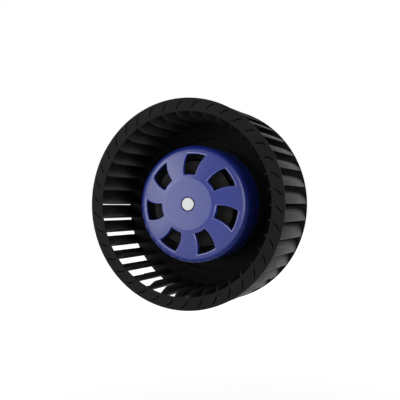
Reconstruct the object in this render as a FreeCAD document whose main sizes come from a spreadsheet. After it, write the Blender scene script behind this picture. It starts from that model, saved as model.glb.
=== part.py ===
import FreeCAD, Part

import math
import os
import re

import Sketcher

# Centrifugal fan: a sheet-metal impeller with forward-curved blades, pressed on an external-rotor motor.
# The fan turns about the Y axis and draws air in at its -Y side. The origin is the centre of the
# motor's mounting face. A height is a distance in front of that face, towards the inlet, so Y = -height.

doc = FreeCAD.newDocument("centrifugal_fan")
sheet = doc.addObject("Spreadsheet::Sheet", "sheet")

# Driving sizes in millimetres, angles in degrees
DRIVING = {
    # impeller
    "impeller_diameter": 160.0,
    "ring_width": 10.0,
    "impeller_width": 62.2,
    "ring_sheet": 0.8,
    "plate_sheet": 1.0,
    "plate_standoff": 18.0,
    "blade_count": 38,
    "blade_sheet": 0.6,
    "blade_depth": 14.4,
    "blade_arc_radius": 10.5,
    "blade_lead": 8.24,
    "blade_tip_inset": 0.7,
    "blade_corner_radius": 13.5,
    "blade_corner_rise": 4.4,
    "blade_phase": 7.0,
    "tab_length": 5.1,
    "tab_inset": 2.3,
    "tab_play": 0.05,
    "tab_recess": 0.4,
    # recess and collar of the back plate
    "recess_diameter": 111.6,
    "recess_depth": 3.0,
    "collar_length": 20.0,
    # rotor bell
    "rotor_length": 49.6,
    "boss_diameter": 39.6,
    "boss_recess": 10.4,
    "cone_angle": 16.0,
    "shoulder_radius": 4.5,
    "shell_wall": 2.8,
    "hub_diameter": 20.0,
    "hub_length": 14.1,
    "shaft_rim_gap": 0.8,
    "shaft_rim_depth": 1.6,
    # windows in the face of the bell
    "window_count": 7,
    "window_inner_radius": 23.3,
    "window_margin": 6.8,
    "window_span": 23.2,
    "window_swirl": 4.45,
    "window_phase": 1.8,
    "window_side_radius": 24.0,
    # shaft and its retaining ring
    "shaft_diameter": 10.0,
    "shaft_proud": 0.4,
    "shaft_chamfer": 0.3,
    "shaft_tail": 3.0,
    "circlip_sheet": 1.0,
    "circlip_diameter": 14.0,
    "circlip_groove_depth": 0.4,
    "circlip_gap": 4.0,
    # sleeve bearings and thrust washers
    "bearing_diameter": 22.0,
    "bearing_length": 12.0,
    "bearing_span": 45.2,
    "washer_diameter": 16.0,
    "washer_sheet": 0.5,
    "end_play": 0.05,
    "running_gap": 0.03,
    # rotor core and cage
    "core_length": 24.0,
    "core_setback": 19.6,
    "rotor_core_depth": 8.6,
    "air_gap": 0.4,
    "bar_count": 17,
    "bar_width": 3.0,
    "bar_depth": 4.0,
    "bar_bridge": 1.4,
    "end_ring_inset": 1.6,
    "end_ring_gap": 1.0,
    "end_ring_length": 4.0,
    # stator core, winding and insulating caps
    "stator_diameter": 68.0,
    "tube_diameter": 31.2,
    "slot_count": 12,
    "slot_mouth": 2.4,
    "slot_width": 6.0,
    "slot_yoke": 4.4,
    "slot_tip": 3.0,
    "head_length": 7.6,
    "cap_wall": 1.4,
    "cap_crown": 1.0,
    # mounting flange
    "flange_diameter": 92.0,
    "flange_thickness": 12.0,
    "flange_edge": 1.0,
    "tube_step_diameter": 19.0,
    "bolt_circle": 65.0,
    "bolt_count": 4,
    "bolt_hole_diameter": 3.3,
    "bolt_hole_depth": 9.0,
    "channel_diameter": 54.0,
    "channel_depth": 8.5,
    "face_relief_diameter": 46.0,
    "face_relief_depth": 0.6,
    # cable entry and bearing cap
    "entry_diameter": 8.0,
    "grommet_rim_diameter": 11.0,
    "grommet_rim": 2.0,
    "grommet_bore": 5.6,
    "grommet_length": 9.0,
    "bearing_cap_height": 3.0,
    "bearing_cap_wall": 1.0,
    # clearances
    "press_gap": 0.02,
    "slot_gap": 0.15,
}

# Sizes that follow from the driving ones
DERIVED = {
    "fan_height": "plate_standoff + impeller_width",
    "ring_back": "fan_height - ring_sheet",
    "plate_front": "plate_standoff + plate_sheet",
    "floor_back": "plate_standoff - recess_depth",
    "boss_height": "fan_height - boss_recess",
    "bell_back": "boss_height - rotor_length",
    "rotor_core_bore_radius": "stator_diameter / 2 + air_gap",
    "bell_bore_radius": "rotor_core_bore_radius + rotor_core_depth",
    "rotor_diameter": "2 * (bell_bore_radius + shell_wall)",
    "window_outer_radius": "rotor_diameter / 2 - window_margin",
    "cone_slope": "tan(cone_angle)",
    "shoulder_run": "shoulder_radius * tan(45 - cone_angle / 2)",
    "blade_root_radius": "impeller_diameter / 2 - blade_depth",
    "blade_axis_radius": "impeller_diameter / 2 - blade_tip_inset - blade_arc_radius",
    "blade_axis_rise": "sqrt(blade_axis_radius ^ 2 - blade_lead ^ 2)",
    "blade_outside_arc": "blade_arc_radius + blade_sheet / 2",
    "blade_inside_arc": "blade_arc_radius - blade_sheet / 2",
    "tab_outer_radius": "impeller_diameter / 2 - tab_inset",
    "tab_inner_radius": "tab_outer_radius - tab_length",
    "hub_end": "boss_height - hub_length",
    "tube_end": "hub_end - washer_sheet - 2 * end_play",
    "front_bearing_back": "tube_end - bearing_length",
    "rear_bearing_back": "tube_end - bearing_span",
    "rear_bearing_front": "rear_bearing_back + bearing_length",
    "circlip_front": "rear_bearing_back - washer_sheet - 2 * end_play",
    "circlip_back": "circlip_front - circlip_sheet",
    "shaft_end": "circlip_back - shaft_tail",
    "core_front": "boss_height - core_setback",
    "core_back": "core_front - core_length",
    "front_cap_face": "core_front + head_length + 2 * cap_wall",
    "rear_cap_face": "core_back - head_length - cap_wall",
    "entry_height": "flange_thickness / 2",
    "bar_inner_radius": "rotor_core_bore_radius + bar_bridge",
    "bar_outer_radius": "bar_inner_radius + bar_depth",
    "slot_inner_radius": "tube_diameter / 2 + slot_yoke",
    "slot_outer_radius": "stator_diameter / 2 - slot_tip",
    "cap_bore_radius": "tube_diameter / 2 + cap_wall / 2",
}

NAMES = list(DRIVING) + list(DERIVED)


def fill_sheet():
    """Writes each size with its name, the derived ones as formulas."""
    row = 0
    for name, size in DRIVING.items():
        row += 1
        sheet.set(f"A{row}", name)
        sheet.set(f"B{row}", str(size))
        sheet.setAlias(f"B{row}", name)
    for name, formula in DERIVED.items():
        row += 1
        sheet.set(f"A{row}", name)
        sheet.set(f"B{row}", "=" + formula)
        sheet.setAlias(f"B{row}", name)
    doc.recompute()


def value(expression):
    """The number that an expression in the sheet's names gives."""
    return float(sheet.evalExpression(str(expression)))


def linked(expression):
    """The same expression as other objects write it, with each name pointing to the sheet."""
    def point(match):
        word = match.group()
        return "sheet." + word if word in NAMES else word
    return re.sub(r"[a-z_]+", point, str(expression))


def bind(thing, prop, expression):
    thing.setExpression(prop, linked(expression))


def new_body(name):
    body = doc.addObject("PartDesign::Body", name)
    body.Label = name
    return body


def origin_feature(body, role):
    return next(f for f in body.Origin.OriginFeatures if f.Role == role)


# A cross plane is square to the fan's axis, with x to the right and y up, seen from the inlet.
# A turning plane holds the axis: x is the radius and y the height. A side plane has x as the
# height and y as the distance above the axis. A level plane has x to the right and y rearwards.
PLANES = {
    "cross": ("XZ_Plane", None),
    "turning": ("XY_Plane", FreeCAD.Vector(1, 0, 0)),
    "side": ("YZ_Plane", FreeCAD.Vector(0, 1, 0)),
    "level": ("XY_Plane", None),
}


def new_sketch(body, name, plane, lift="0"):
    """An empty sketch on one of the planes above, moved along its normal by lift."""
    role, turned_about = PLANES[plane]
    sketch = body.newObject("Sketcher::SketchObject", name)
    sketch.AttachmentSupport = [(origin_feature(body, role), "")]
    sketch.MapMode = "FlatFace"
    if turned_about is not None:
        half_turn = FreeCAD.Rotation(turned_about, 180)
        sketch.AttachmentOffset = FreeCAD.Placement(FreeCAD.Vector(), half_turn)
    else:
        bind(sketch, "AttachmentOffset.Base.z", lift)
    return sketch


def bind_point(sketch, element, end, x, y):
    """Ties one end of a sketch element to a place."""
    for kind, place in (("DistanceX", x), ("DistanceY", y)):
        if place is not None:
            number = sketch.addConstraint(Sketcher.Constraint(kind, -1, 1, element, end, value(place)))
            bind(sketch, f"Constraints[{number}]", place)


def bind_radius(sketch, element, radius):
    number = sketch.addConstraint(Sketcher.Constraint("Radius", element, value(radius)))
    bind(sketch, f"Constraints[{number}]", radius)


def outline(sketch, corners, arcs=None):
    """A closed outline through the corners. Edge number i runs from corner i to the next one, straight
    unless arcs[i] gives its radius and the side that it bulges to, seen along the way."""
    arcs = arcs or {}
    places = [FreeCAD.Vector(value(x), value(y), 0) for x, y in corners]
    count = len(places)
    drawn = []
    for i in range(count):
        a, b = places[i], places[(i + 1) % count]
        if i in arcs:
            radius, side = arcs[i]
            bulges_left = side == "left"
            number = sketch.addGeometry(arc_between(a, b, value(radius), bulges_left), False)
            drawn.append((number, 2, 1) if bulges_left else (number, 1, 2))
        else:
            drawn.append((sketch.addGeometry(Part.LineSegment(a, b), False), 1, 2))
    for i, (number, start, end) in enumerate(drawn):
        following, next_start, _ = drawn[(i + 1) % count]
        sketch.addConstraint(Sketcher.Constraint("Coincident", number, end, following, next_start))
        bind_point(sketch, number, start, *corners[i])
        if i in arcs:
            bind_radius(sketch, number, arcs[i][0])


def arc_between(a, b, radius, bulges_left):
    """The shorter arc from a to b. It is drawn counter-clockwise, so a left bulge starts at b."""
    along = (b - a).normalize()
    left = FreeCAD.Vector(-along.y, along.x, 0)
    reach = math.sqrt(radius ** 2 - (a.distanceToPoint(b) / 2) ** 2)
    centre = (a + b) * 0.5 + left * (-reach if bulges_left else reach)
    start, end = (b, a) if bulges_left else (a, b)
    first = math.atan2(start.y - centre.y, start.x - centre.x)
    last = math.atan2(end.y - centre.y, end.x - centre.x)
    return Part.ArcOfCircle(Part.Circle(centre, FreeCAD.Vector(0, 0, 1), radius), first, last)


def circle(sketch, radius, x="0", y="0"):
    centre = FreeCAD.Vector(value(x), value(y), 0)
    element = sketch.addGeometry(Part.Circle(centre, FreeCAD.Vector(0, 0, 1), value(radius)), False)
    if (x, y) == ("0", "0"):
        sketch.addConstraint(Sketcher.Constraint("Coincident", element, 3, -1, 1))
    else:
        bind_point(sketch, element, 3, x, y)
    bind_radius(sketch, element, radius)


def rectangle(sketch, width, low, high):
    """A rectangle that stands over the fan's axis, between two levels."""
    left, right = f"-({width}) / 2", f"({width}) / 2"
    outline(sketch, [(left, low), (right, low), (right, high), (left, high)])


def polar(radius, angle):
    """A point of a cross plane, with the angle clockwise from the top, seen from the inlet."""
    return f"({radius}) * sin({angle})", f"({radius}) * cos({angle})"


def pad(body, sketch, length, name):
    feature = body.newObject("PartDesign::Pad", name)
    feature.Profile = sketch
    bind(feature, "Length", length)
    return feature


def pocket(body, sketch, length, name):
    """Cuts rearwards from a cross plane, or downwards from a level one."""
    feature = body.newObject("PartDesign::Pocket", name)
    feature.Profile = sketch
    bind(feature, "Length", length)
    return feature


def flat_ring(body, name, outside, inside, back, length):
    """A ring padded forward from a height."""
    sketch = new_sketch(body, name + "_outline", "cross", back)
    circle(sketch, outside)
    circle(sketch, inside)
    return pad(body, sketch, length, name)


def around(body, feature, count, name):
    """Repeats a feature about the fan's axis."""
    pattern = body.newObject("PartDesign::PolarPattern", name)
    pattern.Originals = [feature]
    pattern.Axis = (origin_feature(body, "Y_Axis"), [""])
    pattern.Angle = 360
    bind(pattern, "Occurrences", count)
    body.Tip = pattern
    return pattern


def turned(name, corners, arcs=None):
    """A body turned about the fan's axis from corners given as radius and height."""
    body = new_body(name)
    sketch = new_sketch(body, name + "_profile", "turning")
    outline(sketch, corners, arcs)
    feature = body.newObject("PartDesign::Revolution", name + "_turned")
    feature.Profile = sketch
    feature.ReferenceAxis = (sketch, ["V_Axis"])
    feature.Angle = 360
    return body


# Blades and the slots that take their tabs
# A blade is drawn at the top of the impeller. Its mean line is an arc from the root edge to the
# point that lies furthest from the fan's axis, so it leaves nearly along the rim.

def on_arc(radius, level):
    """The point where an arc about the blade's centre passes a level, on its left side."""
    return f"blade_lead - sqrt(({radius}) ^ 2 - (blade_axis_rise - ({level})) ^ 2)", level


def on_spoke(radius):
    """The point of an arc about the blade's centre that lies furthest from the fan's axis."""
    share = f"(1 + ({radius}) / blade_axis_radius)"
    return f"blade_lead * {share}", f"blade_axis_rise * {share}"


def cut_slots(body, lift, depth):
    """One slot per blade, an arc with a little play round the tab."""
    outside = "blade_outside_arc + tab_play"
    inside = "blade_inside_arc - tab_play"
    low = "tab_inner_radius - tab_play"
    high = "tab_outer_radius + tab_play"
    sketch = new_sketch(body, body.Label + "_slot_outline", "cross", lift)
    corners = [on_arc(outside, high), on_arc(outside, low), on_arc(inside, low), on_arc(inside, high)]
    outline(sketch, corners, {0: (outside, "right"), 2: (inside, "left")})
    slot = pocket(body, sketch, depth, body.Label + "_slot")
    around(body, slot, "blade_count", body.Label + "_slots")


def turn_to_first_blade(body):
    """Turns a body of the impeller about the fan's axis to where the first blade stands."""
    body.Placement = FreeCAD.Placement(FreeCAD.Vector(), FreeCAD.Rotation(FreeCAD.Vector(0, 1, 0), 1))
    bind(body, "Placement.Rotation.Angle", "blade_phase")


def make_front_ring():
    body = new_body("front_ring")
    outside = "impeller_diameter / 2"
    flat_ring(body, "front_ring_sheet", outside, f"{outside} - ring_width", "ring_back", "ring_sheet")
    cut_slots(body, "fan_height", "ring_sheet")
    turn_to_first_blade(body)


def make_back_plate():
    """A pressed disc: flat rim, recessed floor and a collar that grips the rotor."""
    floor_front = "floor_back + plate_sheet"
    collar_front = "floor_back + collar_length"
    step = "recess_diameter / 2"
    collar_inside = "rotor_diameter / 2 + press_gap"
    collar_outside = f"{collar_inside} + plate_sheet"
    body = turned("back_plate", [
        ("impeller_diameter / 2", "plate_standoff"), ("impeller_diameter / 2", "plate_front"),
        (step, "plate_front"), (step, floor_front), (collar_outside, floor_front),
        (collar_outside, collar_front), (collar_inside, collar_front), (collar_inside, "floor_back"),
        (f"{step} + plate_sheet", "floor_back"), (f"{step} + plate_sheet", "plate_standoff"),
    ])
    cut_slots(body, "plate_front", "plate_sheet")
    turn_to_first_blade(body)


def make_first_blade():
    """A curved strip with a tab at each end and large rounded corners at its root edge."""
    body = new_body("blade_01")
    section = new_sketch(body, "blade_section", "cross", "plate_standoff + tab_recess")
    corners = [
        on_spoke("blade_outside_arc"), on_arc("blade_outside_arc", "blade_root_radius"),
        on_arc("blade_inside_arc", "blade_root_radius"), on_spoke("blade_inside_arc"),
    ]
    outline(section, corners, {0: ("blade_outside_arc", "right"), 2: ("blade_inside_arc", "left")})
    pad(body, section, "impeller_width - 2 * tab_recess", "blade_strip")
    trim = new_sketch(body, "blade_trim_outline", "side")
    draw_blade_side(trim)
    cut = body.newObject("PartDesign::Pocket", "blade_trim")
    cut.Profile = trim
    cut.SideType = "Symmetric"
    bind(cut, "Length", "impeller_diameter")
    turn_to_first_blade(body)
    return body


def draw_blade_side(sketch):
    """The strip's final outline, seen along the rim, in a frame of waste that is cut away."""
    above = "impeller_diameter / 2 + ring_sheet"
    low, high = "blade_root_radius / 2", f"{above} + ring_sheet"
    beyond = "fan_height + plate_standoff"
    outline(sketch, [("0", low), (beyond, low), (beyond, high), ("0", high)])
    corner_run = "sqrt(blade_corner_radius ^ 2 - (blade_corner_radius - blade_corner_rise) ^ 2)"
    corner_top = "blade_root_radius + blade_corner_rise"
    front_tab, back_tab = "fan_height - tab_recess", "plate_standoff + tab_recess"
    corners = [
        ("ring_back", corner_top), (f"ring_back - {corner_run}", "blade_root_radius"),
        (f"plate_front + {corner_run}", "blade_root_radius"), ("plate_front", corner_top),
        ("plate_front", "tab_inner_radius"), (back_tab, "tab_inner_radius"),
        (back_tab, "tab_outer_radius"), ("plate_front", "tab_outer_radius"), ("plate_front", above),
        ("ring_back", above), ("ring_back", "tab_outer_radius"), (front_tab, "tab_outer_radius"),
        (front_tab, "tab_inner_radius"), ("ring_back", "tab_inner_radius"),
    ]
    outline(sketch, corners, {0: ("blade_corner_radius", "left"), 2: ("blade_corner_radius", "left")})


def make_other_blades(first):
    """Each further blade is the first one, turned by its share of the circle."""
    for number in range(1, round(value("blade_count"))):
        body = new_body(f"blade_{number + 1:02d}")
        copy = body.newObject("PartDesign::FeatureBase", f"blade_{number + 1:02d}_copy")
        copy.BaseFeature = first
        body.Tip = copy
        turn_to_first_blade(body)
        bind(body, "Placement.Rotation.Angle", f"blade_phase + {number} * 360 / blade_count")


# Rotor bell with its swirled windows

def make_rotor_bell():
    """A turned shell: flat boss, sloping face, rounded shoulder, skirt and a hub for the shaft."""
    radius, bore = "rotor_diameter / 2", "shaft_diameter / 2 + press_gap"
    boss, hub = "boss_diameter / 2", "hub_diameter / 2"
    shoulder = f"boss_height - ({radius} - {boss}) * cone_slope"
    boss_inside = "boss_height - shell_wall"
    bend = f"({boss} - shell_wall * tan(cone_angle / 2))"
    body = turned("rotor_bell", [
        (bore, "boss_height"), (boss, "boss_height"),
        (f"{radius} - shoulder_run * cos(cone_angle)", f"{shoulder} + shoulder_run * sin(cone_angle)"),
        (radius, f"{shoulder} - shoulder_run"), (radius, "bell_back"), ("bell_bore_radius", "bell_back"),
        ("bell_bore_radius", f"{boss_inside} - (bell_bore_radius - {bend}) * cone_slope"),
        (bend, boss_inside), (hub, boss_inside), (hub, "hub_end"), (bore, "hub_end"),
    ], {2: ("shoulder_radius", "left")})
    rim = new_sketch(body, "shaft_rim_outline", "cross", "boss_height")
    circle(rim, "shaft_diameter / 2 + shaft_rim_gap")
    pocket(body, rim, "shaft_rim_depth", "shaft_rim")
    cut_windows(body)


def cut_windows(body):
    """Windows between two arcs about the fan's axis, with sides that bow against the swirl."""
    half = "window_span / 2"
    inner_middle, outer_middle = "window_phase", "window_phase + window_swirl"
    inner, outer = "window_inner_radius", "window_outer_radius"
    sketch = new_sketch(body, "window_outline", "cross", "boss_height")
    corners = [
        polar(inner, f"{inner_middle} - {half}"), polar(outer, f"{outer_middle} - {half}"),
        polar(outer, f"{outer_middle} + {half}"), polar(inner, f"{inner_middle} + {half}"),
    ]
    arcs = {0: ("window_side_radius", "left"), 1: (outer, "left"), 2: ("window_side_radius", "right"),
            3: (inner, "right")}
    outline(sketch, corners, arcs)
    depth = f"({outer} - boss_diameter / 2) * cone_slope + 2 * shell_wall"
    window = pocket(body, sketch, depth, "window")
    around(body, window, "window_count", "windows")


# Rotor core, cage, shaft and retaining ring

def make_rotor_core():
    body = new_body("rotor_core")
    outside, inside = "bell_bore_radius - press_gap", "rotor_core_bore_radius"
    flat_ring(body, "rotor_core_stack", outside, inside, "core_back", "core_length")
    hole = new_sketch(body, "bar_hole_outline", "cross", "core_front")
    rectangle(hole, "bar_width + 2 * press_gap", "bar_inner_radius - press_gap", "bar_outer_radius + press_gap")
    around(body, pocket(body, hole, "core_length", "bar_hole"), "bar_count", "bar_holes")


def make_rotor_cage():
    """Two end rings joined by the bars that run through the core."""
    body = new_body("rotor_cage")
    size = "bell_bore_radius - end_ring_gap", "rotor_core_bore_radius + end_ring_inset"
    flat_ring(body, "rear_end_ring", *size, "core_back - end_ring_length", "end_ring_length")
    bar = new_sketch(body, "bar_outline", "cross", "core_back")
    rectangle(bar, "bar_width", "bar_inner_radius", "bar_outer_radius")
    around(body, pad(body, bar, "core_length", "bar"), "bar_count", "bars")
    flat_ring(body, "front_end_ring", *size, "core_front", "end_ring_length")


def make_shaft():
    radius = "shaft_diameter / 2"
    tip = "boss_height + shaft_proud"
    groove = f"{radius} - circlip_groove_depth"
    turned("shaft", [
        ("0", tip), (f"{radius} - shaft_chamfer", tip), (radius, f"{tip} - shaft_chamfer"),
        (radius, "circlip_front"), (groove, "circlip_front"), (groove, "circlip_back"),
        (radius, "circlip_back"), (radius, "shaft_end + shaft_chamfer"),
        (f"{radius} - shaft_chamfer", "shaft_end"), ("0", "shaft_end"),
    ])


def make_circlip():
    body = new_body("shaft_circlip")
    inside = "shaft_diameter / 2 - circlip_groove_depth + press_gap"
    flat_ring(body, "circlip_ring", "circlip_diameter / 2", inside, "circlip_back + press_gap",
              "circlip_sheet - 2 * press_gap")
    gap = new_sketch(body, "circlip_gap_outline", "cross", "circlip_front")
    rectangle(gap, "circlip_gap", "0", "circlip_diameter")
    pocket(body, gap, "2 * circlip_sheet", "circlip_opening")


# Sleeve bearings and thrust washers

def make_bearings():
    inside, outside = "shaft_diameter / 2 + running_gap", "bearing_diameter / 2 - press_gap"
    for end in ("front", "rear"):
        sleeve = new_body(end + "_bearing_sleeve")
        flat_ring(sleeve, end + "_sleeve", outside, inside, end + "_bearing_back", "bearing_length")
    for end, back in (("front", "tube_end + end_play"), ("rear", "circlip_front + end_play")):
        washer = new_body(end + "_thrust_washer")
        flat_ring(washer, end + "_washer", "washer_diameter / 2", "shaft_diameter / 2 + end_play", back,
                  "washer_sheet")


# Stator

def make_stator_core():
    body = new_body("stator_core")
    outside, inside = "stator_diameter / 2", "tube_diameter / 2 + press_gap"
    flat_ring(body, "stator_core_stack", outside, inside, "core_back", "core_length")
    slot = new_sketch(body, "stator_slot_outline", "cross", "core_front")
    wide, mouth = "slot_width / 2", "slot_mouth / 2"
    outline(slot, [
        (f"-{wide}", "slot_inner_radius"), (wide, "slot_inner_radius"), (wide, "slot_outer_radius"),
        (mouth, "slot_outer_radius"), (mouth, "stator_diameter"), (f"-{mouth}", "stator_diameter"),
        (f"-{mouth}", "slot_outer_radius"), (f"-{wide}", "slot_outer_radius"),
    ])
    around(body, pocket(body, slot, "core_length", "stator_slot"), "slot_count", "stator_slots")


def make_winding():
    """Two winding heads joined by the coil sides in the slots, all bound by resin."""
    body = new_body("stator_winding")
    inside, outside = "slot_inner_radius + slot_gap", "slot_outer_radius - slot_gap"
    flat_ring(body, "rear_head", outside, inside, "core_back - head_length", "head_length")
    side = new_sketch(body, "coil_side_outline", "cross", "core_back")
    rectangle(side, "slot_width - 2 * slot_gap", inside, outside)
    around(body, pad(body, side, "core_length", "coil_side"), "slot_count", "coil_sides")
    flat_ring(body, "front_head", outside, inside, "core_front", "head_length")


def make_caps():
    """Insulating caps over both winding heads. The front one shows through the windows."""
    inside, outside = "cap_bore_radius", "stator_diameter / 2 - cap_wall / 4"
    hollow_in, hollow_out = f"{inside} + cap_wall", f"{outside} - cap_wall"
    face, roof = "front_cap_face", "front_cap_face - cap_wall"
    turned("front_end_cap", [
        (inside, "core_front"), (inside, f"{face} - cap_crown"), (f"{inside} + 2 * cap_wall", face),
        (f"{outside} - 2 * cap_wall", face), (outside, f"{face} - cap_crown"), (outside, "core_front"),
        (hollow_out, "core_front"), (hollow_out, roof), (hollow_in, roof), (hollow_in, "core_front"),
    ])
    floor = "rear_cap_face + cap_wall / 2"
    turned("rear_end_cap", [
        (inside, "core_back"), (hollow_in, "core_back"), (hollow_in, floor), (hollow_out, floor),
        (hollow_out, "core_back"), (outside, "core_back"), (outside, "rear_cap_face"), (inside, "rear_cap_face"),
    ])


# Mounting flange with its bearing tube, cable entry and cap

def make_flange():
    radius, tube = "flange_diameter / 2", "tube_diameter / 2"
    seat, step = "bearing_diameter / 2", "tube_step_diameter / 2"
    channel_floor = "flange_thickness - channel_depth"
    relief = "face_relief_diameter / 2"
    body = turned("mounting_flange", [
        (seat, "face_relief_depth"), (relief, "face_relief_depth"), (relief, "0"),
        (f"{radius} - flange_edge", "0"), (radius, "flange_edge"),
        (radius, "flange_thickness - flange_edge"), (f"{radius} - flange_edge", "flange_thickness"),
        ("channel_diameter / 2", "flange_thickness"), ("channel_diameter / 2", channel_floor),
        (tube, channel_floor), (tube, "tube_end"), (seat, "tube_end"), (seat, "front_bearing_back"),
        (step, "front_bearing_back"), (step, "rear_bearing_front"), (seat, "rear_bearing_front"),
    ])
    cut_bolt_holes(body)
    cut_cable_entry(body)


def cut_bolt_holes(body):
    """Tapped holes in the mounting face, drawn at the size of their drill."""
    sketch = new_sketch(body, "bolt_hole_outline", "cross", "bolt_hole_depth")
    offset = "bolt_circle / 2 * sin(45)"
    circle(sketch, "bolt_hole_diameter / 2", offset, offset)
    hole = pocket(body, sketch, "bolt_hole_depth", "bolt_hole")
    around(body, hole, "bolt_count", "bolt_holes")


def cut_cable_entry(body):
    """A radial hole at the bottom, from the rim into the channel round the tube."""
    sketch = new_sketch(body, "cable_entry_outline", "level", "-(channel_diameter / 2 - grommet_rim)")
    circle(sketch, "entry_diameter / 2", "0", "-entry_height")
    pocket(body, sketch, "flange_diameter / 2", "cable_entry")


def make_grommet():
    body = new_body("cable_grommet")
    rim = new_sketch(body, "grommet_rim_outline", "level", "-(flange_diameter / 2 + grommet_rim)")
    circle(rim, "grommet_rim_diameter / 2", "0", "-entry_height")
    pad(body, rim, "grommet_rim", "grommet_rim")
    neck = new_sketch(body, "grommet_neck_outline", "level", "-(flange_diameter / 2 + grommet_rim)")
    circle(neck, "entry_diameter / 2 - press_gap", "0", "-entry_height")
    pad(body, neck, "grommet_rim + grommet_length", "grommet_neck")
    bore = new_sketch(body, "grommet_bore_outline", "level", "-(flange_diameter / 2 - grommet_length)")
    circle(bore, "grommet_bore / 2", "0", "-entry_height")
    pocket(body, bore, "grommet_length + 2 * grommet_rim", "grommet_bore")


def make_bearing_cap():
    """A pressed cup that closes the tube behind the rear bearing."""
    outside = "bearing_diameter / 2 - press_gap"
    inside = f"{outside} - bearing_cap_wall"
    back = "face_relief_depth"
    front = f"{back} + bearing_cap_height"
    turned("bearing_cap", [
        ("0", back), (outside, back), (outside, front), (inside, front),
        (inside, f"{back} + bearing_cap_wall"), ("0", f"{back} + bearing_cap_wall"),
    ])


def build():
    fill_sheet()
    make_front_ring()
    make_back_plate()
    make_other_blades(make_first_blade())
    make_rotor_bell()
    make_rotor_core()
    make_rotor_cage()
    make_shaft()
    make_circlip()
    make_bearings()
    make_stator_core()
    make_winding()
    make_caps()
    make_flange()
    make_grommet()
    make_bearing_cap()
    doc.recompute()


def sub_parts():
    return [thing for thing in doc.Objects if thing.TypeId == "PartDesign::Body"]


def check():
    for thing in doc.Objects:
        if any(word in thing.State for word in ("Invalid", "Error")):
            raise RuntimeError(f"{thing.Label} failed: {thing.State}")
    for part in sub_parts():
        if part.Shape.isNull() or not part.Shape.isValid():
            raise RuntimeError(f"{part.Label} has no valid shape")


def write():
    os.makedirs("parts", exist_ok=True)
    for part in sub_parts():
        part.Shape.exportStep(f"parts/{part.Label}.step")
        print(part.Label, len(part.Shape.Solids), round(part.Shape.Volume, 1))


build()
check()
write()
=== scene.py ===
import math

import bmesh
import bpy
from mathutils import Matrix, Vector


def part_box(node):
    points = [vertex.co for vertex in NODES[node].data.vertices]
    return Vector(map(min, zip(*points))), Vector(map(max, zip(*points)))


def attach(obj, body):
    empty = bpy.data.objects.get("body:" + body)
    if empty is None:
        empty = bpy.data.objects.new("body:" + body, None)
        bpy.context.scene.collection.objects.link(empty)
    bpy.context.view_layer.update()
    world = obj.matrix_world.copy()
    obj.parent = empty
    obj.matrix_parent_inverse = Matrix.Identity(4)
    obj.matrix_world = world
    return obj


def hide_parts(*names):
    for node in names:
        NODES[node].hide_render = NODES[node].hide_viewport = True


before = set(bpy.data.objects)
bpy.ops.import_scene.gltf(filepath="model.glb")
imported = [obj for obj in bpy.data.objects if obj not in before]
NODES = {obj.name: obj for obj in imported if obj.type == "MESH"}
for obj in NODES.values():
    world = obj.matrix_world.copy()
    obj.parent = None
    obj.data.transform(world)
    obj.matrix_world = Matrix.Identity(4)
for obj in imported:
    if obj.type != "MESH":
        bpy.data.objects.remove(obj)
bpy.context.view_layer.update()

BLADES = sorted(name for name in NODES if name.startswith("blade_"))

# Places that follow from the frame. The fan turns about Y, with its inlet at the low end.
RING_LOW, RING_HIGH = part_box("front_ring")
PLATE_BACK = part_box("back_plate")[1].y
FACE_CENTRE = Vector((0, RING_LOW.y, 0))
WHEEL_CENTRE = Vector((0, (RING_LOW.y + PLATE_BACK) / 2, 0))
IMPELLER_RADIUS = RING_HIGH.x

# The slots for the blades' tabs, in metres. Each follows an arc. The bearings are those of the first slot's
# middle and of its arc's centre, in degrees clockwise from the top, seen from the inlet. Shade is painted
# round
# each slot: black up to one distance from the arc, fading to the sheet's colour at another.
SLOT_RADIUS = 0.07515
SLOT_BEARING = 7.8
ARC_RADIUS = 0.0105
ARC_CENTRE_RADIUS = 0.0688
ARC_CENTRE_BEARING = 13.879
SLOT_SHADE_HALF_LENGTH = 0.0023
SLOT_SHADE_BLACK_WITHIN = 0.0003
SLOT_SHADE_ENDS_AT = 0.0006

# Finish, in metres: the widths of softened edges, the reach of the weld and of the painted shade on the
# tabs' ends, the film of paint, and the spacing of marks, wires and layers
SHEET_EDGE = 0.00012
CASTING_EDGE = 0.0002
RUBBER_EDGE = 0.0004
SHELL_EDGE = 0.00015
WELD_REACH = 0.000002
TAB_END_SHADE_DEPTH = 0.0008
PAINT_FILM = 0.0001
TURNING_PITCH = 0.00024166
FACING_PITCH = 0.00069813
WIRE_PITCH = 0.00069813
LAMINATION = 0.0005

# Angles in degrees at which an edge is bevelled or shading breaks, and the least cosine between a face's
# normal and the fan's axis at which the face was turned
BEVEL_ANGLE = 40
SHARP_ANGLE = 12
TURNED_COSINE = 0.95

# The rotor's shell, in millimetres and degrees, as the CAD model has it but with a softer shoulder. The
# middle of the first window has its phase as bearing at the inner end, and is ahead of it by its swirl at
# the outer end.
MM_PER_METRE = 1000
BELL_FRONT, BELL_BACK = (-corner.y * MM_PER_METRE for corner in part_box("rotor_bell"))
BELL_RADIUS = 45.8
BELL_WALL = 2.8
BORE_RADIUS = 5.02
RIM_RADIUS = 5.8
RIM_DEPTH = 1.6
BOSS_RADIUS = 19.8
HUB_RADIUS = 10.0
HUB_LENGTH = 14.1
CONE_ANGLE = 16.0
SHOULDER_RADIUS = 5.5
WINDOWS = 7
WINDOW_INNER = 23.3
WINDOW_OUTER = 39.0
WINDOW_SPAN = 23.2
WINDOW_SWIRL = 4.45
WINDOW_PHASE = 1.8
WINDOW_SIDE_RADIUS = 24.0

# How finely the shell is divided, and the rounding of its edges in metres
WINDOW_STEPS = 6
WINDOW_PANES = 7
RIB_PANES = 9
SHOULDER_STEPS = 8
WINDOW_ROUNDING = 0.0012
BOSS_ROUNDING = 0.0004
SAME_PLACE_MM = 0.01

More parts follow.
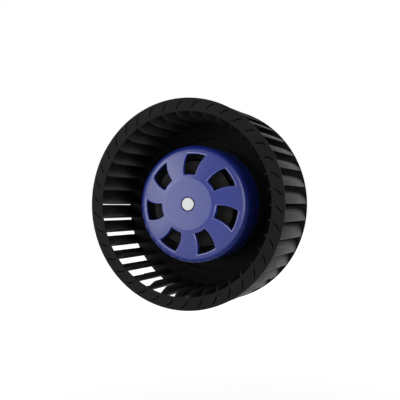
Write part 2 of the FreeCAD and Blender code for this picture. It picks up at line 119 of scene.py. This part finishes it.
# Camera, worked out from the outline of the ring and of the back plate in the photograph
AZIMUTH = math.radians(23.719)
ELEVATION = math.radians(-0.571)
DISTANCE = 0.47036
OFFSET_RIGHT = 0.013561
OFFSET_UP = 0.003072
LENS_MM = 56.40
SENSOR_MM = 36.0
CLIP_START = 0.01

# Stage: sizes in metres, strengths where 1 is white
FLOOR_DROP = 0.22
FLOOR_SIZE = 12.0
FLOOR_GREY = 0.8
FLOOR_NEAR = 0.45
FLOOR_FAR = 1.1
FLOOR_GLOW_NEAR = 0.69
WORLD_LIGHT = 0.2


# Shader building blocks

class Shader:
    """A node material under construction, with short calls for the nodes that it uses."""

    def __init__(self, name):
        self.material = bpy.data.materials.new(name)
        self.material.use_nodes = True
        self.tree = self.material.node_tree
        self.surface = self.tree.nodes["Principled BSDF"]
        self.place = self.add("ShaderNodeTexCoord").outputs["Object"]

    def add(self, kind, **settings):
        node = self.tree.nodes.new(kind)
        for key, setting in settings.items():
            setattr(node, key, setting)
        return node

    def link(self, source, target):
        self.tree.links.new(source, target)

    def set(self, **values):
        """Sets constants on the surface shader, with underscores for the spaces in a socket's name."""
        for key, number in values.items():
            self.surface.inputs[key.replace("_", " ")].default_value = number

    def colour(self, socket):
        self.link(socket, self.surface.inputs["Base Color"])

    def roughness(self, socket):
        self.link(socket, self.surface.inputs["Roughness"])

    def metallic(self, socket):
        self.link(socket, self.surface.inputs["Metallic"])

    def bump(self, height, depth, strength=1.0):
        """Bump from a height socket, where a rise of 1 stands for a depth in metres."""
        node = self.add("ShaderNodeBump")
        node.inputs["Strength"].default_value = strength
        node.inputs["Distance"].default_value = depth
        self.link(height, node.inputs["Height"])
        self.link(node.outputs["Normal"], self.surface.inputs["Normal"])

    def noise(self, scale, detail=3.0, roughness=0.55):
        """Noise with its scale in features per metre."""
        texture = self.add("ShaderNodeTexNoise")
        texture.inputs["Scale"].default_value = scale
        texture.inputs["Detail"].default_value = detail
        texture.inputs["Roughness"].default_value = roughness
        self.link(self.place, texture.inputs["Vector"])
        return texture.outputs["Fac"]

    def ramp(self, source, low, high, start=0.3, end=0.7):
        """Maps a value between start and end to one between low and high."""
        node = self.add("ShaderNodeMapRange")
        for key, number in (("From Min", start), ("From Max", end), ("To Min", low), ("To Max", high)):
            node.inputs[key].default_value = number
        self.link(source, node.inputs["Value"])
        return node.outputs["Result"]

    def mix(self, factor, first, second):
        """A colour mixed from two, each a colour value or a socket."""
        node = self.add("ShaderNodeMix", data_type="RGBA")
        self.link(factor, node.inputs["Factor"])
        # The node has like-named sockets for each type of data, so the colours' go by their numbers
        for index, colour in ((6, first), (7, second)):
            if isinstance(colour, tuple):
                node.inputs[index].default_value = (*colour, 1)
            else:
                self.link(colour, node.inputs[index])
        return node.outputs[2]

    def maths(self, operation, *terms):
        node = self.add("ShaderNodeMath", operation=operation)
        for index, term in enumerate(terms):
            if isinstance(term, (int, float)):
                node.inputs[index].default_value = term
            else:
                self.link(term, node.inputs[index])
        return node.outputs[0]

    def parts(self, vector):
        """The X, Y and Z sockets of a vector."""
        split = self.add("ShaderNodeSeparateXYZ")
        self.link(vector, split.inputs["Vector"])
        return split.outputs

    def ripples(self, distance, pitch):
        """A sine from -1 to 1 that repeats every pitch along a distance."""
        return self.maths("SINE", self.maths("MULTIPLY", distance, 2 * math.pi / pitch))

    def radius(self):
        """Distance from the fan's axis."""
        place = self.parts(self.place)
        across = self.maths("MULTIPLY", place["X"], place["X"])
        upward = self.maths("MULTIPLY", place["Z"], place["Z"])
        return self.maths("SQRT", self.maths("ADD", across, upward))

    def facing_axis(self):
        """1 on faces square to the fan's axis, 0 on those round it."""
        normal = self.parts(self.add("ShaderNodeNewGeometry").outputs["Normal"])
        return self.maths("GREATER_THAN", self.maths("ABSOLUTE", normal["Y"]), TURNED_COSINE)

    def painted_slot_shade(self):
        """Where shade is painted: 1 in the slots for the blades' tabs and right beside them, 0 elsewhere."""
        place, radius = self.parts(self.place), self.radius()
        bearing = self.maths("ARCTAN2", place["X"], place["Z"])
        past_first = self.maths("SUBTRACT", bearing, math.radians(SLOT_BEARING))
        half_pitch = math.pi / len(BLADES)
        past_nearest = self.maths("WRAP", past_first, half_pitch, -half_pitch)
        past_centre = self.maths("ADD", past_nearest, math.radians(SLOT_BEARING - ARC_CENTRE_BEARING))
        squares = self.maths("MULTIPLY_ADD", radius, radius, ARC_CENTRE_RADIUS ** 2)
        product = self.maths("MULTIPLY", self.maths("MULTIPLY", radius, self.maths("COSINE", past_centre)),
                             2 * ARC_CENTRE_RADIUS)
        from_centre = self.maths("SQRT", self.maths("SUBTRACT", squares, product))
        off_arc = self.maths("ABSOLUTE", self.maths("SUBTRACT", from_centre, ARC_RADIUS))
        off_middle = self.maths("ABSOLUTE", self.maths("SUBTRACT", radius, SLOT_RADIUS))
        return self.maths("MULTIPLY", self.ramp(off_arc, 1, 0, SLOT_SHADE_BLACK_WITHIN, SLOT_SHADE_ENDS_AT),
                          self.maths("LESS_THAN", off_middle, SLOT_SHADE_HALF_LENGTH))


# Materials

# Black for painted shade, in the ring's slots and on the blades' tabs' ends
PAINTED_SHADE_BLACK = (0.001, 0.001, 0.001)


def impeller_sheet():
    """Black coated sheet steel, with a fine skin and faint handling marks, and black painted shade in and
    round the slots.
    """
    shader = Shader("impeller_sheet")
    slot_shade = shader.painted_slot_shade()
    cloud = shader.ramp(shader.noise(45, 4), 0, 1)
    sheet = shader.mix(cloud, (0.0077, 0.0077, 0.0079), (0.0106, 0.0106, 0.0108))
    # Painted shade: the slots and a thin band round them are black, and fully rough there
    shader.colour(shader.mix(slot_shade, sheet, PAINTED_SHADE_BLACK))
    shader.roughness(shader.maths("MAXIMUM", shader.ramp(shader.noise(160, 5), 0.38, 0.5), slot_shade))
    shader.set(Specular_IOR_Level=0.0275)
    shader.bump(shader.noise(1400, 2), 0.00002, 0.35)
    return shader.material


def blade_sheet():
    """The blades' coated sheet: a little glossier than the ring's, with black painted shade at the front
    tabs' ends.
    """
    shader = Shader("blade_sheet")
    tab_end_shade = shader.maths("LESS_THAN", shader.parts(shader.place)["Y"], RING_LOW.y + TAB_END_SHADE_DEPTH)
    cloud = shader.ramp(shader.noise(45, 4), 0, 1)
    sheet = shader.mix(cloud, (0.0073, 0.0073, 0.0075), (0.0104, 0.0104, 0.0106))
    # Painted shade: the tabs' ends, sunk in the ring's slots, are black, fully rough and metallic, so they
    # reflect nothing
    shader.colour(shader.mix(tab_end_shade, sheet, PAINTED_SHADE_BLACK))
    shader.roughness(shader.maths("MAXIMUM", shader.ramp(shader.noise(160, 5), 0.46, 0.56), tab_end_shade))
    shader.metallic(tab_end_shade)
    shader.set(Specular_IOR_Level=0.168)
    shader.bump(shader.noise(1400, 2), 0.00002, 0.35)
    return shader.material


def rotor_paint(name="rotor_paint", specular=0.565, coat=0.0):
    """Dark blue satin paint over a casting."""
    shader = Shader(name)
    cloud = shader.ramp(shader.noise(60, 4), 0, 1)
    shader.colour(shader.mix(cloud, (0.0069, 0.0170, 0.156), (0.0096, 0.0211, 0.175)))
    shader.roughness(shader.ramp(shader.noise(220, 4), 0.27, 0.33))
    shader.set(Specular_IOR_Level=specular, Coat_Weight=coat, Coat_Roughness=0.2)
    shader.bump(shader.noise(900, 3), 0.00003, 0.3)
    return shader.material


def turned_steel():
    """Bright steel with fine turning marks round the axis."""
    shader = Shader("turned_steel")
    marks = shader.noise(300, 4)
    shader.colour(shader.mix(shader.ramp(marks, 0, 1), (0.28, 0.294, 0.288), (0.35, 0.367, 0.36)))
    shader.roughness(shader.ramp(marks, 0.46, 0.58))
    shader.set(Metallic=1.0)
    shader.bump(shader.ripples(shader.radius(), TURNING_PITCH), 0.000004, 0.5)
    return shader.material


def cast_aluminium():
    """A die casting: grainy where it was cast, with turning marks on the faces across the axis."""
    shader = Shader("cast_aluminium")
    grain = shader.noise(700, 5, 0.7)
    cloud = shader.ramp(shader.noise(90, 3), 0, 1)
    shader.colour(shader.mix(cloud, (0.33, 0.335, 0.34), (0.42, 0.425, 0.43)))
    shader.roughness(shader.ramp(grain, 0.38, 0.6))
    shader.set(Metallic=0.9)
    marks = shader.maths("MULTIPLY", shader.ripples(shader.radius(), FACING_PITCH), shader.facing_axis())
    shader.bump(shader.maths("MULTIPLY_ADD", marks, 0.5, grain), 0.00006, 0.6)
    return shader.material


def varnished_metal():
    """Cast and stacked metal of the rotor, dipped in dark varnish against rust."""
    shader = Shader("varnished_metal")
    runs = shader.noise(350, 5, 0.6)
    shader.colour(shader.mix(shader.ramp(runs, 0, 1), (0.0075, 0.0075, 0.0075), (0.020, 0.020, 0.019)))
    shader.roughness(shader.ramp(runs, 0.5, 0.7))
    shader.set(Specular_IOR_Level=0.06)
    shader.bump(runs, 0.0001, 0.5)
    return shader.material


def electrical_steel():
    """The edges of stacked sheets."""
    shader = Shader("electrical_steel")
    layer = shader.ripples(shader.parts(shader.place)["Y"], LAMINATION)
    sheet = shader.ramp(layer, 0, 1, -0.9, -0.4)
    shader.colour(shader.mix(sheet, (0.05, 0.05, 0.055), (0.24, 0.24, 0.25)))
    shader.roughness(shader.ramp(shader.noise(500), 0.4, 0.6))
    shader.set(Metallic=0.8)
    shader.bump(layer, 0.00006, 0.6)
    return shader.material


def winding_copper():
    """Varnished wire, laid round the axis."""
    shader = Shader("winding_copper")
    wires = shader.ripples(shader.radius(), WIRE_PITCH)
    shader.colour(shader.mix(shader.ramp(wires, 0, 1, -1, 0.2), (0.06, 0.015, 0.006), (0.42, 0.13, 0.05)))
    shader.roughness(shader.ramp(shader.noise(400), 0.25, 0.45))
    shader.set(Metallic=0.5, Coat_Weight=0.6, Coat_Roughness=0.15)
    shader.bump(wires, 0.0002, 0.8)
    return shader.material


def sintered_bronze():
    """Porous bronze, with oil in its pores."""
    shader = Shader("sintered_bronze")
    pores = shader.noise(2600, 4, 0.7)
    shader.colour(shader.mix(shader.ramp(pores, 0, 1), (0.2, 0.11, 0.045), (0.42, 0.25, 0.11)))
    shader.roughness(shader.ramp(pores, 0.35, 0.6))
    shader.set(Metallic=0.9)
    shader.bump(pores, 0.00004, 0.5)
    return shader.material


def moulded_plastic(name, dark, light, rough, gloss=0.5):
    """Plain moulded plastic or rubber with a fine grain."""
    shader = Shader(name)
    shader.colour(shader.mix(shader.ramp(shader.noise(120, 4), 0, 1), dark, light))
    shader.roughness(shader.ramp(shader.noise(600), rough - 0.05, rough + 0.08))
    shader.set(Specular_IOR_Level=gloss)
    shader.bump(shader.noise(2200, 2), 0.00003, 0.3)
    return shader.material


def give(material, *nodes):
    """Puts a material on CAD nodes in place of what they came with."""
    for node in nodes:
        NODES[node].data.materials.clear()
        NODES[node].data.materials.append(material)


def dress_nodes():
    give(impeller_sheet(), "front_ring", "back_plate")
    give(blade_sheet(), *BLADES)
    give(turned_steel(), "shaft", "shaft_circlip", "bearing_cap")
    give(cast_aluminium(), "mounting_flange")
    give(varnished_metal(), "rotor_core", "rotor_cage")
    give(electrical_steel(), "stator_core")
    give(winding_copper(), "stator_winding")
    give(sintered_bronze(), "front_bearing_sleeve", "rear_bearing_sleeve")
    give(moulded_plastic("cap_plastic", (0.0090, 0.0087, 0.0078), (0.0122, 0.0118, 0.0108),
                         rough=0.6, gloss=0.05),
         "front_end_cap", "rear_end_cap")
    give(moulded_plastic("washer_plastic", (0.5, 0.47, 0.4), (0.58, 0.55, 0.48), rough=0.4),
         "front_thrust_washer", "rear_thrust_washer")
    give(moulded_plastic("grommet_rubber", (0.009, 0.009, 0.009), (0.014, 0.014, 0.014), rough=0.6),
         "cable_grommet")


# Softened edges

def add_bevel(piece, name, width, segments=2, limit="ANGLE"):
    """Bevels the edges that the limit method picks, by a width in metres."""
    bevel = piece.modifiers.new(name, "BEVEL")
    bevel.width = width
    bevel.segments = segments
    bevel.limit_method = limit
    bevel.angle_limit = math.radians(BEVEL_ANGLE)
    bevel.harden_normals = True
    return bevel


def soften(node, width, segments=2, film=0.0):
    """Rounds a CAD node's sharp edges a little, on a welded copy of its mesh, and lays a film of paint on
    it where one is given."""
    piece = NODES[node]
    weld = piece.modifiers.new("weld", "WELD")
    weld.merge_threshold = WELD_REACH
    if film:
        coat = piece.modifiers.new("coat", "DISPLACE")
        coat.mid_level = 0
        coat.strength = film
    add_bevel(piece, "edges", width, segments)


def soften_edges():
    soften("front_ring", SHEET_EDGE)
    soften("back_plate", SHEET_EDGE)
    for blade in BLADES:
        soften(blade, SHEET_EDGE, film=PAINT_FILM)
    soften("mounting_flange", CASTING_EDGE)
    soften("cable_grommet", RUBBER_EDGE, segments=3)


# Rotor shell, with the rounded window edges of a casting

def side_angle(radius):
    """Bearing of a window's first side, in degrees clockwise from the top, seen from the inlet."""
    ends = []
    for place, middle in ((WINDOW_INNER, WINDOW_PHASE), (WINDOW_OUTER, WINDOW_PHASE + WINDOW_SWIRL)):
        bearing = math.radians(middle - WINDOW_SPAN / 2)
        ends.append(Vector((place * math.sin(bearing), place * math.cos(bearing))))
    along = ends[1] - ends[0]
    reach = math.sqrt(WINDOW_SIDE_RADIUS ** 2 - (along.length / 2) ** 2)
    centre = (ends[0] + ends[1]) / 2 + Vector((along.y, -along.x)).normalized() * reach
    radius = min(max(radius, WINDOW_INNER), WINDOW_OUTER)
    squares = radius ** 2 + centre.length_squared - WINDOW_SIDE_RADIUS ** 2
    spread = math.acos(squares / (2 * radius * centre.length))
    return math.degrees(math.atan2(centre.x, centre.y) - spread)


def bell_profile():
    """The shell's closed outline as radius and height, with the numbers of its points at a window's inner
    end, outside and inside."""
    slope = math.tan(math.radians(CONE_ANGLE))
    steps = [WINDOW_INNER + (WINDOW_OUTER - WINDOW_INNER) * i / WINDOW_STEPS
             for i in range(WINDOW_STEPS + 1)]
    points = [(BORE_RADIUS, BELL_FRONT - RIM_DEPTH), (RIM_RADIUS, BELL_FRONT - RIM_DEPTH),
              (RIM_RADIUS, BELL_FRONT), (BOSS_RADIUS, BELL_FRONT)]
    outside = len(points)
    points += [(r, BELL_FRONT - (r - BOSS_RADIUS) * slope) for r in steps]
    run = SHOULDER_RADIUS * math.tan(math.radians(45 - CONE_ANGLE / 2))
    centre_radius = BELL_RADIUS - SHOULDER_RADIUS
    centre_height = BELL_FRONT - (BELL_RADIUS - BOSS_RADIUS) * slope - run
    for i in range(SHOULDER_STEPS + 1):
        turn = math.radians(CONE_ANGLE + (90 - CONE_ANGLE) * i / SHOULDER_STEPS)
        points.append((centre_radius + SHOULDER_RADIUS * math.sin(turn),
                       centre_height + SHOULDER_RADIUS * math.cos(turn)))
    inner_radius = BELL_RADIUS - BELL_WALL
    bend = BOSS_RADIUS - BELL_WALL * math.tan(math.radians(CONE_ANGLE / 2))
    ceiling = BELL_FRONT - BELL_WALL
    points += [(BELL_RADIUS, BELL_BACK), (inner_radius, BELL_BACK),
               (inner_radius, ceiling - (inner_radius - bend) * slope)]
    points += [(r, ceiling - (r - bend) * slope) for r in reversed(steps)]
    inside = len(points) - 1
    points += [(bend, ceiling), (HUB_RADIUS, ceiling), (HUB_RADIUS, BELL_FRONT - HUB_LENGTH),
               (BORE_RADIUS, BELL_FRONT - HUB_LENGTH)]
    return points, outside, inside


def on_shell(radius, height, bearing):
    """A place in the frame from millimetres and radians."""
    return (radius * math.sin(bearing) / MM_PER_METRE, -height / MM_PER_METRE,
            radius * math.cos(bearing) / MM_PER_METRE)


def window_ring():
    """The grid points round one window, as steps outward and panes round."""
    ring = [(0, j) for j in range(WINDOW_PANES)]
    ring += [(i, WINDOW_PANES) for i in range(WINDOW_STEPS)]
    ring += [(WINDOW_STEPS, WINDOW_PANES - j) for j in range(WINDOW_PANES)]
    ring += [(WINDOW_STEPS - i, 0) for i in range(WINDOW_STEPS)]
    return ring


def bell_mesh():
    """Quads between turned copies of the outline, which follow the windows' swirl. The windows stay open,
    and their front edges are marked for rounding."""
    points, outside, inside = bell_profile()
    panes = WINDOW_PANES + RIB_PANES
    rib_span = 360 / WINDOWS - WINDOW_SPAN
    offsets = [WINDOW_SPAN * i / WINDOW_PANES for i in range(WINDOW_PANES)]
    offsets += [WINDOW_SPAN + rib_span * i / RIB_PANES for i in range(RIB_PANES)]
    shell = bmesh.new()
    rounded = shell.edges.layers.float.new("bevel_weight_edge")
    grid = []
    for radius, height in points:
        bearings = [math.radians(360 * n / WINDOWS + offset + side_angle(radius))
                    for n in range(WINDOWS) for offset in offsets]
        grid.append([shell.verts.new(on_shell(radius, height, bearing)) for bearing in bearings])
    around = len(grid[0])
    open_rows = {*range(outside, outside + WINDOW_STEPS), *range(inside - WINDOW_STEPS, inside)}
    for i, row in enumerate(grid):
        following = grid[(i + 1) % len(grid)]
        for j in range(around):
            if i not in open_rows or j % panes >= WINDOW_PANES:
                k = (j + 1) % around
                shell.faces.new((row[j], following[j], following[k], row[k]))
    ring = window_ring()
    for n in range(WINDOWS):
        for (i, j), (k, m) in zip(ring, ring[1:] + ring[:1]):
            first, second = (n * panes + j) % around, (n * panes + m) % around
            front = grid[outside + i][first], grid[outside + k][second]
            shell.faces.new((*front, grid[inside - k][second], grid[inside - i][first]))
            shell.edges.get(front)[rounded] = 1.0
    bmesh.ops.recalc_face_normals(shell, faces=shell.faces)
    mesh = bpy.data.meshes.new("rotor_shell")
    shell.to_mesh(mesh)
    shell.free()
    mesh.shade_smooth()
    mesh.set_sharp_from_angle(angle=math.radians(SHARP_ANGLE))
    return mesh


def is_on_boss_edge(place):
    radius = math.hypot(place.x, place.z) * MM_PER_METRE
    height = -place.y * MM_PER_METRE
    return abs(radius - BOSS_RADIUS) < SAME_PLACE_MM and abs(height - BELL_FRONT) < SAME_PLACE_MM


def make_bell():
    """The painted shell. Its paint is glossier on the windows' rounded edges, where it gathers."""
    bell = bpy.data.objects.new("rotor_shell", bell_mesh())
    boss_edge = bell.vertex_groups.new(name="boss_edge")
    boss_edge.add([v.index for v in bell.data.vertices if is_on_boss_edge(v.co)], 1.0, "ADD")
    bpy.context.scene.collection.objects.link(bell)
    bell.data.materials.append(rotor_paint())
    bell.data.materials.append(rotor_paint("rotor_paint_edge", specular=0.76, coat=0.4))
    add_bevel(bell, "window_edges", WINDOW_ROUNDING, segments=5, limit="WEIGHT").material = 1
    add_bevel(bell, "boss_edge", BOSS_ROUNDING, limit="VGROUP").vertex_group = "boss_edge"
    add_bevel(bell, "edges", SHELL_EDGE)
    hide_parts("rotor_bell")
    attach(bell, "rotor")


# Stage, light and camera

def white_to_camera(tree, lit, shown, output):
    """Shows one shader to the camera and in reflections, and lights the object with another."""
    path = tree.nodes.new("ShaderNodeLightPath")
    seen = path.outputs["Is Camera Ray"]
    for ray in ("Is Glossy Ray", "Is Transmission Ray"):
        either = tree.nodes.new("ShaderNodeMath")
        either.operation = "MAXIMUM"
        tree.links.new(seen, either.inputs[0])
        tree.links.new(path.outputs[ray], either.inputs[1])
        seen = either.outputs[0]
    mix = tree.nodes.new("ShaderNodeMixShader")
    tree.links.new(seen, mix.inputs["Fac"])
    tree.links.new(lit, mix.inputs[1])
    tree.links.new(shown, mix.inputs[2])
    tree.links.new(mix.outputs[0], output)


def make_world():
    world = bpy.data.worlds.new("studio")
    bpy.context.scene.world = world
    world.use_nodes = True
    tree = world.node_tree
    tree.nodes.clear()
    output = tree.nodes.new("ShaderNodeOutputWorld")
    lighting = tree.nodes.new("ShaderNodeBackground")
    lighting.inputs["Strength"].default_value = WORLD_LIGHT
    shown = tree.nodes.new("ShaderNodeBackground")
    shown.inputs["Color"].default_value = (1, 1, 1, 1)
    shown.inputs["Strength"].default_value = 1.0
    white_to_camera(tree, lighting.outputs[0], shown.outputs[0], output.inputs["Surface"])


def floor_glow(tree):
    """Strength of the floor's own white: less near the object, where its shadow falls, and full far off."""
    place = tree.nodes.new("ShaderNodeTexCoord")
    distance = tree.nodes.new("ShaderNodeVectorMath")
    distance.operation = "LENGTH"
    tree.links.new(place.outputs["Object"], distance.inputs[0])
    reach = tree.nodes.new("ShaderNodeMapRange")
    reach.inputs["From Min"].default_value = FLOOR_NEAR
    reach.inputs["From Max"].default_value = FLOOR_FAR
    reach.inputs["To Min"].default_value = FLOOR_GLOW_NEAR
    reach.inputs["To Max"].default_value = 1
    tree.links.new(distance.outputs["Value"], reach.inputs["Value"])
    return reach.outputs["Result"]


def make_floor():
    bpy.ops.mesh.primitive_plane_add(size=FLOOR_SIZE, location=(0, 0, -IMPELLER_RADIUS - FLOOR_DROP))
    floor = bpy.context.object
    floor.name = "floor"
    material = bpy.data.materials.new("floor_white")
    material.use_nodes = True
    tree = material.node_tree
    tree.nodes.clear()
    output = tree.nodes.new("ShaderNodeOutputMaterial")
    matt = tree.nodes.new("ShaderNodeBsdfDiffuse")
    matt.inputs["Color"].default_value = (FLOOR_GREY, FLOOR_GREY, FLOOR_GREY, 1)
    glow = tree.nodes.new("ShaderNodeEmission")
    tree.links.new(floor_glow(tree), glow.inputs["Strength"])
    both = tree.nodes.new("ShaderNodeAddShader")
    tree.links.new(matt.outputs[0], both.inputs[0])
    tree.links.new(glow.outputs[0], both.inputs[1])
    white_to_camera(tree, matt.outputs[0], both.outputs[0], output.inputs["Surface"])
    floor.data.materials.append(material)


def add_lamp(name, bearing, height, distance, size, glow):
    """A soft lamp that faces the impeller. Its bearing is in degrees from straight in front of the inlet,
    positive to the right, its height in degrees too, and its glow is its brightness, where 1 is white."""
    data = bpy.data.lights.new(name, "AREA")
    data.shape = "RECTANGLE"
    data.size, data.size_y = size
    data.energy = glow * math.pi * data.size * data.size_y
    lamp = bpy.data.objects.new(name, data)
    bpy.context.scene.collection.objects.link(lamp)
    around, above = math.radians(bearing), math.radians(height)
    outward = Vector((math.sin(around) * math.cos(above), -math.cos(around) * math.cos(above),
                      math.sin(above)))
    lamp.location = WHEEL_CENTRE + outward * distance
    lamp.rotation_euler = (-outward).to_track_quat("-Z", "Y").to_euler()


def make_lamps():
    add_lamp("key_left", bearing=-42, height=8, distance=0.9, size=(0.66, 0.9), glow=3.54)
    add_lamp("edge_right", bearing=56, height=8, distance=0.8, size=(0.46, 0.8), glow=4.7)


def make_camera():
    back = Vector((math.sin(AZIMUTH) * math.cos(ELEVATION), -math.cos(AZIMUTH) * math.cos(ELEVATION),
                   math.sin(ELEVATION)))
    right = Vector((math.cos(AZIMUTH), math.sin(AZIMUTH), 0))
    up = back.cross(right)
    data = bpy.data.cameras.new("camera")
    data.lens = LENS_MM
    data.sensor_width = SENSOR_MM
    data.clip_start = CLIP_START
    camera = bpy.data.objects.new("camera", data)
    bpy.context.scene.collection.objects.link(camera)
    place = FACE_CENTRE + back * DISTANCE + right * OFFSET_RIGHT + up * OFFSET_UP
    camera.matrix_world = Matrix.Translation(place) @ Matrix((right, up, back)).transposed().to_4x4()
    bpy.context.scene.camera = camera


dress_nodes()
make_bell()
soften_edges()
make_world()
make_floor()
make_lamps()
make_camera()
bpy.context.scene.view_settings.view_transform = "Standard"
